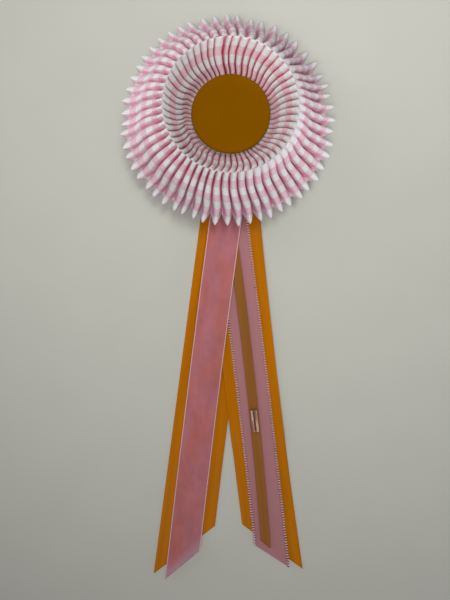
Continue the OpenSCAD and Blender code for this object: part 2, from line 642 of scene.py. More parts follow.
@dataclass(frozen=True)
class Ribbed(Finish):
    """Ribbon with fine ribs across it and paler looped edges. Its map is in millimetres."""

    colour: Colour
    edge: Colour
    width: float
    edge_width: float = 1.5
    loop_pitch: float = 1.75
    rib: float = 0.8

    def lay_out(self, bench: Bench) -> None:
        """Lays out the ribs, the threads and the loops of the two edges.

        Args:
            bench: the material's bench.
        """
        bench.plain(Roughness=0.65, Sheen_Weight=0.25, Specular_IOR_Level=0.3)
        cloth = bench.cloth()
        across, along, _ = bench.parts(cloth)
        weave = bench.plain_weave(along, across, self.rib)
        threads = bench.varied(bench.streaks(cloth, (3.0, 0.4, 1.0)), 0.94, 1.06)
        shade = bench.times(threads, bench.spread(weave, 0.9, 1.1))
        inset = bench.inset(across, self.width)
        body = bench.step(inset, self.edge_width * 0.6, self.edge_width * 1.4)
        loops = bench.step(bench.wave("COSINE", along, math.tau / self.loop_pitch), 0.0, 0.6)
        looped = bench.mix(loops, bench.tinted(self.colour, 0.6), self.edge)
        bench.paint(bench.mix(body, looped, bench.tinted(self.colour, shade)))
        bench.relief(weave, 0.06, 0.6)


@dataclass(frozen=True)
class CoverCloth(Finish):
    """Smooth cloth stretched over the button."""

    colour: Colour = (0.225, 0.085, 0.0)
    thread: float = 0.28

    def lay_out(self, bench: Bench) -> None:
        """Lays out the fine weave and its faint clouds.

        Args:
            bench: the material's bench.
        """
        bench.plain(Roughness=0.7, Specular_IOR_Level=0.0)
        place = bench.place()
        along, across, _ = bench.parts(place)
        weave = bench.plain_weave(along, across, self.thread * MM)
        cloudy = bench.varied(bench.noise(place, 60.0), 0.96, 1.04)
        bench.paint(self.colour, bench.times(cloudy, bench.spread(weave, 0.97, 1.03)))
        bench.relief(weave, 0.04, 0.4)


@dataclass(frozen=True)
class BeadCoat(Finish):
    """Rose-gold lining seen through glass, painted with highlight and shade streaks along its
    twist.
    """

    rose: Colour = (0.62, 0.31, 0.20)
    # Painted highlight for the pale streaks and painted shade for the dark ones.
    cream: Colour = (0.52, 0.40, 0.29)
    shade: Colour = (0.26, 0.14, 0.085)

    def lay_out(self, bench: Bench) -> None:
        """Lays out two painted shade streaks, three painted highlights and the bead's fine wear.

        Args:
            bench: the material's bench.
        """
        bench.plain(Roughness=0.34, Metallic=0.3, Coat_Weight=0.35, Coat_Roughness=0.2)
        around = bench.parts(bench.cloth())[0]
        dark, pale = (
            bench.step(bench.wave("SINE", around, math.tau * count), -0.5, 0.5) for count in (2, 3)
        )
        worn = bench.varied(bench.noise(bench.place(), 900.0), 0.92, 1.08)
        bench.paint(bench.mix(dark, self.shade, bench.mix(pale, self.rose, self.cream)), worn)


@dataclass(frozen=True)
class Felt(Finish):
    """Pressed felt."""

    colour: Colour = (0.76, 0.73, 0.67)

    def lay_out(self, bench: Bench) -> None:
        """Lays out the tangled fibres.

        Args:
            bench: the material's bench.
        """
        bench.plain(Roughness=0.95, Sheen_Weight=0.3)
        fibres = bench.noise(bench.place(), 1400.0, 5.0, 0.7)
        bench.paint(self.colour, bench.varied(fibres, 0.88, 1.06))
        bench.relief(fibres, 0.25, 0.7)


@dataclass(frozen=True)
class PlatedSteel(Finish):
    """Bright plating with fine wear."""

    colour: Colour = (0.66, 0.66, 0.68)

    def lay_out(self, bench: Bench) -> None:
        """Lays out the wear in colour and gloss.

        Args:
            bench: the material's bench.
        """
        bench.plain(Metallic=1.0)
        wear = bench.streaks(bench.place(), (300.0, 2500.0, 2500.0), 3.0)
        bench.paint(self.colour, bench.varied(wear, 0.92, 1.05))
        bench.feed(bench.shader.inputs["Roughness"], bench.varied(wear, 0.22, 0.4))


@dataclass(frozen=True)
class SewingThread(Finish):
    """Twisted polyester thread."""

    colour: Colour = (0.30, 0.14, 0.05)

    def lay_out(self, bench: Bench) -> None:
        """Lays out the twist.

        Args:
            bench: the material's bench.
        """
        bench.plain(Roughness=0.6, Sheen_Weight=0.3)
        twist = bench.streaks(bench.place(), (6000.0, 2500.0, 6000.0), 1.0)
        bench.paint(self.colour, bench.varied(twist, 0.8, 1.1))
        bench.relief(twist, 0.08, 0.7)


@dataclass(frozen=True)
class PaleFloor(Finish):
    """Smooth pale board."""

    colour: Colour = (0.575, 0.575, 0.51)

    def lay_out(self, bench: Bench) -> None:
        """Lays out the board's faint grain.

        Args:
            bench: the material's bench.
        """
        bench.plain(Roughness=0.8, Specular_IOR_Level=0.3)
        grain = bench.noise(bench.place(), 25.0, 4.0)
        bench.paint(self.colour, bench.varied(grain, 0.985, 1.015))


# ---------------------------------------------------------------- pleated head


class Side(Enum):
    """Which way a frill runs from the crest."""

    OUTWARDS = 1
    INWARDS = -1


@dataclass(frozen=True)
class PleatSection:
    """A pleat where it is cut across, at one share of the ribbon's width.

    Attributes:
        share: share of the width, from the crest.
        depth: depth of the pleat.
        dip: angle at which that depth dips.
        roundness: 1 for a sharp zigzag, and more for a rounder ridge over a tighter groove.
        lift: share of the lift over the tails.
        sway: turn of the ridge from where it starts at the crest.
    """

    share: float
    depth: float
    dip: float
    roundness: float
    lift: float
    sway: Dial = EVEN


@dataclass(frozen=True)
class PleatRow:
    """One row of points along a frill.

    Attributes:
        section: its pleats' section.
        wide: a pleat's points, as shares of the pitch and of the depth.
        slim: the same where the ridge is pinched narrow.
        length: a pleat's length along the cloth.
    """

    section: PleatSection
    wide: list[Pair]
    slim: list[Pair]
    length: float


@dataclass(frozen=True)
class TailsUnderRim:
    """How the head's rim rides up over the tails."""

    height: float = 4.8
    direction: float = 270.0
    half_angle: float = 21.0
    ease_angle: float = 20.0

    def lift(self, azimuth: float) -> float:
        """The lift at an azimuth."""
        past = turned_from(azimuth, self.direction) - self.half_angle
        return self.height * (1 - eased(past / self.ease_angle))


@dataclass
class Frill:
    """A ring of gingham ribbon in deep pleats.

    Attributes:
        name: the piece's name.
        stands_for: the solid that it replaces.
        side: which way it runs from the crest.
        sections: its pleats' sections, from the crest on.
        slopes_left: slope of each check down the ridges, opposite to RIGHT.
        slopes_right: the same at RIGHT.
        openness: share of the depth that the pleats have.
        late: how much shallower they are near the crest, from 0 to 1.
        partings: directions where the ridges stand further apart, each with its extra turn.
        blush: how much painted shade and pink bounce light the grooves get, from 0 to 1.
        tone: painted light and shade over the cloth, for each direction.
        dusk: painted shade towards the rim, and painted light where it is below 0.
        flank_shade: painted shade on the sides of a full-depth pleat.
        flat_length: length of the ribbon when it is flat.
        seed: start of its small differences.
        gathering: turn of the pleats from even spacing.
        fading: how far the grooves fade and flatten half way out, from 0 to 1.
        slack: how far the ridges are pinched narrow, from 0 to 1.
        slender: how much more they are pinched near the rim.
        reach: how far the rim is moved outwards.
        tips_open: the least share of the depth at the rim.
        check_shift: shift of the checks along the ribbon.
        stretch_from: the check where the checks start to be drawn longer.
        stretch: how much longer they are drawn.
        lean: how far the ridges lean to the south, in pitches.
    """

    name: str
    stands_for: str
    side: Side
    sections: tuple[PleatSection, ...]
    slopes_left: tuple[float, ...]
    slopes_right: tuple[float, ...]
    openness: Dial
    late: Dial
    partings: tuple[Pair, ...]
    blush: Dial
    tone: Dial
    dusk: Dial
    flank_shade: float
    flat_length: float
    seed: int
    gathering: Dial = (-2.0, -1.8, 0.7, 3.6, 6.0, 6.8, 6.4, 5.8, 2.6, -1.2, -1.5, -2.1)
    fading: Dial = EVEN
    slack: Dial = EVEN
    slender: Dial = EVEN
    reach: Dial = EVEN
    tips_open: Dial = EVEN
    check_shift: Dial = EVEN
    stretch_from: float = 3.5
    stretch: float = 0.0
    lean: float = 0.0
    pleats: int = 55
    ribbon_width: float = 38.0
    check_rows: int = 7
    checks_per_pleat: int = 4
    crest_radius: float = 41.9
    crest_height: float = 34.6
    wall: float = 0.3
    first_pleat: float = -0.27
    pinch: float = 0.4
    steps_per_pleat: int = 24
    steps_across: int = 28
    under_rim: TailsUnderRim = TailsUnderRim()

    # Spreads of a pleat's small differences.
    UNEVEN = (("turn", 0.4), ("height", 0.35), ("depth", 0.06), ("reach", 0.45))
    # Azimuths: where slopes_right holds, and where a pleat's width is taken.
    RIGHT, PITCH_AT = 10.0, 270.0
    # The sharpest that a pinched ridge gets, and the samples along half a pleat.
    SHARPEST, FINE = 1.1, 400
    # How much less the tips are pinched, how much grooves that fade flatten and lose their painted
    # shade, how much painted groove shade a parting gets, how much of the painted rim shade the
    # tips lose, and the turn added to every lean.
    TIPS_LOOSER, FADED_FLATTER, FADED_PALER = 0.6, 0.4, 0.7
    PARTING_PINK, TIPS_LIGHTER, LEAN_TURN = 0.3, 0.5, 0.25
    # A wide parting's groove: the turn from which it is shaded, the shade, and the most of it.
    WIDE, WIDE_SHADE, DARKEST = 0.8, 0.16, 0.6
    # Half widths of a parting's groove and of the ridges that it turns, in degrees.
    PARTING_GROOVE, PARTING_REACH = 2.8, 3.0
    # Shares of the width: where pleats get loose, where they are late to open, and the rim.
    LOOSE, CREST, PAST_CREST = (0.0, 0.5), (0.0, 0.08), (0.08, 0.44)
    HALF_WAY, NEAR_RIM, AT_TIPS, RIM_OPENS = (0.35, 0.65), (0.55, 0.82), (0.85, 1.0), (0.78, 1.0)
    # Shares of the width where the grooves lose their painted shade, and where the painted rim
    # shade starts and ends.
    PALE_GROOVES, DUSK, PAST_DUSK = (0.72, 0.88), (0.4, 0.6), (0.85, 0.95)
    # Shares of the half pitch where a pleat's shaded side starts and ends.
    FLANK, PAST_FLANK = (0.15, 0.55), (0.7, 0.9)

    def build(self, finish: Finish) -> Piece:
        """Builds the ring.

        Args:
            finish: the ribbon's finish.

        Returns:
            The ring.
        """
        self.lay_out()
        mesh = unrolled(self.pleats * self.steps_per_pleat, self.steps_across)
        # The marks carry the painted groove shade and the painted light and shade.
        shape_strip(mesh, self.place, self.on_cloth, {"fold": self.fold, "tone": self.toned})
        bmesh.ops.remove_doubles(mesh, verts=mesh.verts, dist=WELD)
        face_up(mesh)
        ring = finish_piece(self.name, mesh, finish.material(self.name), "gingham", self.stands_for)
        thicken(ring, self.wall)
        return ring

    def lay_out(self) -> None:
        """Works out the rows across the ribbon, and each pleat's own small differences."""
        chance = random.Random(self.seed)
        self.uneven: dict[str, list[float]] = {
            what: [chance.gauss(0, spread) for _ in range(self.pleats)]
            for what, spread in self.UNEVEN
        }
        shares = [j / self.steps_across for j in range(self.steps_across + 1)]
        self.rows: list[PleatRow] = [self.row(share) for share in shares]

    def row(self, share: float) -> PleatRow:
        """Works out one row of points.

        Args:
            share: the row's share of the width.

        Returns:
            The row.
        """
        places = [section.share for section in self.sections]
        depth, dip, roundness, lift = (
            through(places, [getattr(section, what) for section in self.sections], share)
            for what in ("depth", "dip", "roundness", "lift")
        )
        sways = zip(*(section.sway for section in self.sections))
        sway = tuple(through(places, values, share) for values in sways)
        pitch = math.tau * self.ridge(share, self.PITCH_AT)[0] / self.pleats
        wide, length = self.wave(pitch, depth, roundness)
        slim, _ = self.wave(pitch, depth, max(self.SHARPEST, roundness * self.pinch))
        return PleatRow(PleatSection(share, depth, dip, roundness, lift, sway), wide, slim, length)

    def wave(self, pitch: float, depth: float, roundness: float) -> tuple[list[Pair], float]:
        """Samples one pleat at equal lengths along the cloth.

        Args:
            pitch: width of the pleat.
            depth: depth of the pleat.
            roundness: how round its ridge is.

        Returns:
            For each step, the share of the pitch from the ridge and the share of the depth, and
            the pleat's length along the cloth.
        """
        half = [(k / self.FINE / 2, (k / self.FINE) ** roundness) for k in range(self.FINE + 1)]
        lengths = [0.0]
        for (s0, d0), (s1, d1) in zip(half, half[1:]):
            lengths.append(lengths[-1] + math.hypot((s1 - s0) * pitch, (d1 - d0) * depth))
        steps = self.steps_per_pleat // 2
        ahead = []
        for k in range(steps + 1):
            i = min(self.FINE, bisect_right(lengths, lengths[-1] * k / steps + 1e-9) - 1)
            ahead.append(half[i])
        return ahead[:-1] + [(1 - s, d) for s, d in reversed(ahead)][:-1], 2 * lengths[-1]

    def sample(self, along: float, across: float) -> tuple[int, PleatRow, float, float]:
        """Finds the pleat that a point of the strip is in.

        Args:
            along: the point's share of the way round.
            across: its share of the width, from the crest.

        Returns:
            The pleat, the point's row, and its shares of the pitch and of the depth.
        """
        column = round(along * self.pleats * self.steps_per_pleat)
        pleat, step = divmod(column, self.steps_per_pleat)
        row = self.rows[round(across * self.steps_across)]
        start = self.start(along)
        near_rim = ramp(across, *self.NEAR_RIM)
        near_rim *= 1 - self.TIPS_LOOSER * ramp(across, *self.AT_TIPS)
        slack = min(1.0, max(0.0, read(self.slack, start) + read(self.slender, start) * near_rim))
        share, depth = (between(a, b, slack) for a, b in zip(row.wide[step], row.slim[step]))
        return pleat, row, share, depth

    def start(self, along: float) -> float:
        """The even azimuth at a share of the way round."""
        return self.first_pleat + 360 * along

    def own(self, what: str, turn: float) -> float:
        """A pleat's own difference, eased from each pleat to the next.

        Args:
            what: the kind of difference.
            turn: a place counted in pleats.

        Returns:
            The difference there.
        """
        values = self.uneven[what]
        k = math.floor(turn)
        return between(values[k % self.pleats], values[(k + 1) % self.pleats], eased(turn - k))

    def gathered(self, turn: float) -> float:
        """The azimuth of a place counted in pleats, before the partings.

        Args:
            turn: the place.

        Returns:
            Its azimuth.
        """
        half_pleat = 0.0 if self.side is Side.OUTWARDS else 0.5
        azimuth = self.first_pleat + 360 / self.pleats * (turn + half_pleat)
        return azimuth + read(self.gathering, azimuth)

    def at_parting(self, along: float, across: float) -> float:
        """How far a point is in the groove of a parting.

        Args:
            along: the point's share of the way round.
            across: its share of the width, from the crest.

        Returns:
            Its depth there, from 0 to 1, times the parting's extra turn.
        """
        azimuth = self.gathered(along * self.pleats)
        near = sum(
            extra * math.exp(-((turned_from(azimuth, at) / self.PARTING_GROOVE) ** 2))
            for at, extra in self.partings
        )
        return near * self.sample(along, across)[3]

    def parted(self, past: float, extra: float) -> float:
        """The turn that a parting of some extra turn gives a ridge some degrees past it."""
        past = ((past + 180) % 360 - 180) / self.PARTING_REACH
        return extra * past * math.exp(-(past**2) / 2)

    def opened(self, share: float, azimuth: float) -> float:
        """How deep a pleat is.

        Args:
            share: a share of the width.
            azimuth: the pleat's azimuth.

        Returns:
            The share of its full depth that it has there.
        """
        opened = read(self.openness, azimuth) * (1 - self.lateness(share, azimuth))
        opened *= 1 - self.FADED_FLATTER * self.faded(share, azimuth)
        at_rim = max(opened, read(self.tips_open, azimuth))
        return between(opened, at_rim, ramp(share, *self.RIM_OPENS))

    def lateness(self, share: float, azimuth: float) -> float:
        """How much of their depth the pleats still lack at a share of the width."""
        near_crest = ramp(share, *self.CREST) * (1 - ramp(share, *self.PAST_CREST))
        return read(self.late, azimuth) * near_crest

    def faded(self, share: float, azimuth: float) -> float:
        """How far the grooves have faded at a share of the width."""
        return read(self.fading, azimuth) * ramp(share, *self.HALF_WAY)

    def ridge(self, share: float, azimuth: float) -> Pair:
        """Follows the ridge line.

        Args:
            share: a share of the width.
            azimuth: the ridge's azimuth.

        Returns:
            Its radius and height there.
        """
        side = self.side.value
        radius = self.crest_radius + side * (self.sections[0].depth / 2 + self.wall / 2)
        height = self.crest_height
        rightness = 0.5 + 0.5 * math.cos(math.radians(azimuth - self.RIGHT))
        check = self.ribbon_width / self.check_rows
        for k, slopes in enumerate(zip(self.slopes_left, self.slopes_right)):
            run = check * min(1.0, max(0.0, share * self.check_rows - k))
            slope = math.radians(between(*slopes, rightness))
            radius += side * run * math.cos(slope)
            height -= run * math.sin(slope)
        return radius, height

    def place(self, along: float, across: float) -> Point:
        """Places a point of the ring.

        Args:
            along: the point's share of the way round.
            across: its share of the width, from the crest.

        Returns:
            Its place.
        """
        pleat, row, share, depth = self.sample(along, across)
        section = row.section
        turn = pleat + share
        loose = ramp(section.share, *self.LOOSE)
        azimuth = self.gathered(turn)
        azimuth += sum(self.parted(azimuth - at, extra) for at, extra in self.partings)
        azimuth += read(section.sway, azimuth) + self.own("turn", turn) * loose
        southwards = self.LEAN_TURN - math.cos(math.radians(azimuth))
        azimuth += 360 / self.pleats * self.lean * southwards * (1 - depth) * loose
        radius, height = self.ridge(section.share, azimuth)
        outwards = self.own("reach", turn) * loose + read(self.reach, azimuth) * section.share
        height += self.own("height", turn) * loose
        sink = section.depth * depth * (1 + self.own("depth", turn) * loose)
        early = 1 - self.lateness(section.share, azimuth)
        sink *= between(early, self.opened(section.share, azimuth), loose)
        dip = math.radians(section.dip)
        radius += self.side.value * (outwards - sink * math.cos(dip))
        height += self.under_rim.lift(azimuth) * section.lift - sink * math.sin(dip)
        angle = math.radians(azimuth)
        return radius * math.cos(angle), radius * math.sin(angle), height

    def on_cloth(self, along: float, across: float) -> Pair:
        """Finds a point's place on the ribbon.

        Args:
            along: the point's share of the way round.
            across: its share of the width, from the crest.

        Returns:
            Its place, counted in checks from the middle of a white one.
        """
        turn = along * self.pleats
        pleat = math.floor(turn + 0.5)
        check = self.ribbon_width / self.check_rows
        length = self.rows[round(across * self.steps_across)].length
        counted = pleat * self.checks_per_pleat + (turn - pleat) * length / check
        down = across * self.check_rows
        longer = max(0.0, down - self.stretch_from) * self.stretch
        return counted - read(self.check_shift, self.start(along)), down - longer

    def fold(self, along: float, across: float) -> float:
        """Marks how much painted shade and pink bounce light a point gets in a groove.

        Args:
            along: the point's share of the way round.
            across: its share of the width, from the crest.

        Returns:
            0 on a ridge and where the fingers part, and up to 1 deep in a shaded groove.
        """
        start = self.start(along)
        pinkness = self.opened(across, start) * read(self.blush, start)
        pinkness *= 1 - self.FADED_PALER * self.faded(across, start)
        pinkness *= 1 - self.lateness(across, start)
        deep = self.sample(along, across)[3] * pinkness
        deep += self.PARTING_PINK * self.at_parting(along, across)
        return deep * (1 - ramp(across, *self.PALE_GROOVES))

    def toned(self, along: float, across: float) -> float:
        """Marks the painted light and shade on the cloth.

        Args:
            along: the point's share of the way round.
            across: its share of the width, from the crest.

        Returns:
            The painted light and shade: set for each direction, with painted shade towards the rim,
                on
            the pleats' sides and in the groove of a wide parting.
        """
        start = self.start(along)
        # Painted shade towards the rim, partly lifted again at the tips.
        low = ramp(across, *self.DUSK) * (1 - self.TIPS_LIGHTER * ramp(across, *self.PAST_DUSK))
        light = read(self.tone, start) * (1 - read(self.dusk, start) * low)
        # Painted shade on the sides of each pleat.
        aside = 1 - abs(2 * self.sample(along, across)[2] - 1)
        flank = ramp(aside, *self.FLANK) * (1 - ramp(aside, *self.PAST_FLANK))
        light *= 1 - self.flank_shade * self.opened(across, start) * flank
        # Painted shade in the groove of a wide parting.
        wide = max(0.0, self.at_parting(along, across) - self.WIDE)
        return light * (1 - min(self.DARKEST, self.WIDE_SHADE * wide))


def sections(*rows: tuple) -> tuple[PleatSection, ...]:
    """Pleat sections from rows of their values."""
    return tuple(PleatSection(*row) for row in rows)


OUTER_SECTIONS = sections(
    (0, 0.9, 0, 2.0, 0),
    (0.15, 5.0, 34, 3.6, 0, (0.6, 0.8, 0.1, 0, -1.2, -1.3, -1.5, -1.2, -1.3, -1.2, -0.8, -0.2)),
    (0.3, 6.8, 38, 5.0, 0.1, (1, 1.6, 0.4, -0.1, -2, -2.3, -2.6, -2.4, -2.1, -1.3, -1.6, -0.8)),
    (0.5, 7.2, 44, 5.6, 0.4, (1.6, 2.4, 1.4, 0.3, -2.1, -2.4, -2.9, -3, -2.4, -0.3, -1.2, 0.1)),
    (0.7, 7.2, 48, 4.6, 0.8, (2.7, 2.8, 2.8, 1.4, -1.1, -1.3, -1.8, -2.5, -1.8, 1, -0.4, 1)),
    (0.86, 7.6, 44, 2.8, 1, (3.2, 2.9, 4.4, 2.6, 0.8, -0.4, -0.8, -2.3, -1.6, 1.3, -0.3, 1.2)),
    (1, 8.6, 28, 1.55, 1, (3, 2.8, 5.4, 3.4, 2, -0.3, -0.7, -2.4, -1.7, 1, -0.6, 1)),
)
INNER_SECTIONS = sections(
    (0, 0.9, 0, 2.0, 0),
    (1 / 7, 3.8, 38, 3.6, 0, (2.8, 1.7, 1.5, 2.2, 1.4, 1.2, 1.2, -0.6, -0.4, 1.8, 2.5, 2.4)),
    (2 / 7, 4.4, 38, 4.0, 0, (4.8, 3.9, 3.4, 3.8, 2.8, 2, 1.6, -2, -1.2, 3.6, 4, 4)),
    (3 / 7, 4.4, 42, 4.0, 0, (5.8, 4.8, 3.9, 3.8, 2, 0.4, -0.8, -5.5, -3.3, 4.4, 4.3, 4.6)),
    (4 / 7, 4.2, 45, 3.4, 0, (5.5, 4.2, 2.8, 2, -0.8, -3.6, -6, -10.5, -6.5, 4.4, 4.2, 4.6)),
    (1, 3.0, 80, 2.0, 0, (5, 3.5, 2, 1, -2, -5, -7, -11, -7, 4.4, 4.2, 4.6)),
)


def outer_frill() -> Frill:
    """The ring from the crest out to the pointed tips."""
    return Frill(
        name="gingham_outer_ring", stands_for="outer_frill", side=Side.OUTWARDS,
        sections=OUTER_SECTIONS,
        slopes_left=(50, 43, 38, 44, 43, 27, 10), slopes_right=(38, 44, 54, 44, 50, 32, 12),
        openness=(0.85, 0.82, 0.66, 0.5, 0.44, 0.34, 0.29, 0.55, 0.85, 0.85, 0.8, 0.8),
        late=(0.65, 0.65, 0.5, 0.3, 0.1, 0, 0, 0, 0, 0.1, 0.7, 0.75),
        partings=((77, 1.0), (91, 0.6), (217, 0.8)),
        # Painted shade and pink bounce light in the grooves, for each direction.
        blush=(0.4, 0.3, 0.25, 0.38, 0.65, 1.1, 1.15, 1.1, 1, 1, 0.9, 0.7),
        fading=(0, 0, 0.2, 0.3, 0.5, 0.6, 0.6, 0.7, 0.7, 0.5, 0.3, 0.1),
        slack=(0.4, 0.5, 0.5, 0.4, 0.3, 0.4, 0.45, 0.1, 0, 0, 0, 0.15),
        slender=(0.3, 0.5, 0.4, 0.3, 0.2, 0.2, 0.2, 0.3, 0.6, 0.7, 0.25, 0.1),
        reach=(-1.1, -1.9, -2.8, -2.4, -1.4, -0.9, 0.8, 1.3, 0.5, 0.1, -0.3, -0.7),
        tips_open=(0.9, 0.85, 0.7, 0.6, 0.6, 0.6, 0.6, 0.65, 0.95, 1.2, 0.85, 0.8),
        # Painted light and shade for each direction, then painted shade towards the rim.
        tone=(1.03, 0.865, 0.86, 0.92, 0.98, 1.01, 1.01, 0.98, 0.96, 0.92, 0.95, 1.03),
        dusk=(0, 0.06, 0.17, 0.2, 0.12, 0.02, 0, 0.14, 0.2, 0.12, 0.08, 0.02),
        check_shift=(0, -0.1, -0.2, -0.2, -0.2, -0.25, -0.35, -0.3, -0.1, 0, 0, 0),
        flank_shade=0.15, lean=0.16, flat_length=620.0, seed=11,
    )


def inner_frill() -> Frill:
    """The ring from the crest in under the button."""
    slopes = (54, 52, 52, 54, 30, 2, 2)
    return Frill(
        name="gingham_inner_ring", stands_for="inner_frill", side=Side.INWARDS,
        sections=INNER_SECTIONS,
        slopes_left=slopes, slopes_right=slopes,
        openness=(0.65, 0.9, 0.9, 0.95, 0.65, 0.5, 0.42, 0.55, 0.6, 0.75, 0.6, 0.5),
        late=(0.2, 0.3, 0.4, 0.2, 0.3, 0.3, 0.2, 0, 0, 0, 0.1, 0.2),
        partings=((97, 2.6), (56, 0.6), (33, 0.6), (221, 1.1), (158, 0.9), (285, 0.4)),
        # Painted shade and pink bounce light in the grooves, for each direction.
        blush=(0.5, 0.9, 0.9, 1, 0.8, 0.6, 0.6, 0.7, 0.8, 0.9, 0.8, 0.6),
        # Painted light and shade by direction, then painted rim shade, and painted light below 0.
        tone=(0.95, 1.1, 1.13, 1.05, 0.86, 0.81, 0.85, 0.87, 0.92, 0.93, 0.9, 0.9),
        dusk=(0.03, 0.02, 0.03, 0.06, 0.1, 0.1, 0.04, -0.1, -0.2, -0.16, -0.03, 0.04),
        flank_shade=0.06, stretch=0.4, flat_length=410.0, seed=12,
    )


# The inner ring's gingham, painted darker and warmer than the outer's for the shade and warm bounce
# light inside the well.
INNER_GINGHAM = Gingham(
    white=(0.785, 0.765, 0.755), light=(0.78, 0.53, 0.57), deep=(0.74, 0.38, 0.44),
    fold=(0.69, 0.10, 0.17), fold_pale=(0.76, 0.22, 0.31), fold_share=0.8,
)


# ---------------------------------------------------------------- button


@dataclass
class CoveredButton:
    """A pad with a low crown, covered in cloth, on its hidden shank."""

    radius: float = 25.6
    base: float = 17.7
    rim: float = 4.0
    crown: float = 2.8
    shank: float = 4.0
    foot: float = 5.4
    turns: int = 120
    crown_rows: int = 10
    aside: Point = (0.25, -0.2, 0.0)

    EDGE_ANGLES = range(75, -91, -11)

    def profile(self) -> list[Pair]:
        """Draws half of the button's outline.

        Returns:
            Its points from the top down, as radius and height.
        """
        edge, top, pole = self.rim / 2, self.base + self.rim, WELD
        flat = self.radius - edge
        shares = [k / self.crown_rows for k in range(1, self.crown_rows + 1)]
        crown = [(flat * share, top + self.crown * (1 - share**2)) for share in shares]
        angles = [math.radians(angle) for angle in self.EDGE_ANGLES]
        side = [
            (flat + edge * math.cos(a), self.base + edge + edge * math.sin(a)) for a in angles
        ]
        neck = [(self.shank + 1, self.base), (self.shank, self.base - 1), (self.shank, self.foot)]
        return [(pole, top + self.crown), *crown, *side, *neck, (pole, self.foot)]

    def build(self, finish: Finish) -> Piece:
        """Spins the button's profile round its axis.

        Args:
            finish: its cloth.

        Returns:
            The button.
        """
        mesh = new_mesh()
        verts = [mesh.verts.new((radius, 0, z)) for radius, z in self.profile()]
        edges = [mesh.edges.new(pair) for pair in zip(verts, verts[1:])]
        bmesh.ops.spin(
            mesh, geom=verts + edges, cent=(0, 0, 0), axis=(0, 0, 1), angle=math.tau,
            steps=self.turns, use_merge=True,
        )
        bmesh.ops.remove_doubles(mesh, verts=mesh.verts, dist=10 * WELD)
        bmesh.ops.translate(mesh, verts=mesh.verts, vec=self.aside)
        bmesh.ops.recalc_face_normals(mesh, faces=mesh.faces)
        cloth = finish.material("button_cloth")
        return finish_piece("button_pad", mesh, cloth, "button_cloth", "centre_button")


# ---------------------------------------------------------------- tails


@dataclass(frozen=True)
class Ribbon:
    """Where a tail lies, and how long it is.

    Attributes:
        rim_x: where its middle passes under the rim.
        lean: its lean from straight down.
        bow: how far it bows sideways half way down.
        width: its width.
        left_end: where its left edge ends, along y.
        right_end: where its right edge ends, along y.
        layers: how many layers lie below it, as (y, layers).
        waist: how much narrower it is half way down.
    """

    rim_x: float
    lean: float
    bow: float
    width: float
    left_end: float
    right_end: float
    layers: tuple[Pair, ...]
    waist: float = 0.0

    # The head's rim, the tails' upper ends, and the disc that they lie on, along y and up.
    RIM_Y, TOP_Y = -67.0, -25.0
    DISC_EDGE_Y, DISC_TOP = -41.0, 5.4
    LAYER = 1.2

    def belly(self, y: float) -> float:
        """Rises from 0 at the rim to 1 half way down, and falls to 0 at the end."""
        s = (self.RIM_Y - y) / (self.RIM_Y - min(self.left_end, self.right_end))
        return 4 * s * (1 - s)

    def middle(self, y: float) -> float:
        """The middle of the tail at a place along y."""
        slant = math.tan(math.radians(self.lean)) * (self.RIM_Y - y)
        return self.rim_x + slant + self.bow * self.belly(y)

    def half(self, y: float) -> float:
        """Half the width of the tail along x, at a place along y."""
        narrowed = self.width - self.waist * max(0.0, self.belly(y))
        return narrowed / 2 / math.cos(math.radians(self.lean))

    def under(self, y: float) -> float:
        """The height of the tail's underside, rounded where it bends.

        Args:
            y: a place along the tail.

        Returns:
            The height there.
        """
        on_disc = self.DISC_TOP + self.layers[0][1] * self.LAYER
        places = [-self.TOP_Y - 1, -self.DISC_EDGE_Y] + [-at for at, _ in self.layers]
        heights = [on_disc, on_disc] + [count * self.LAYER for _, count in self.layers]
        return through(places, heights, -y)


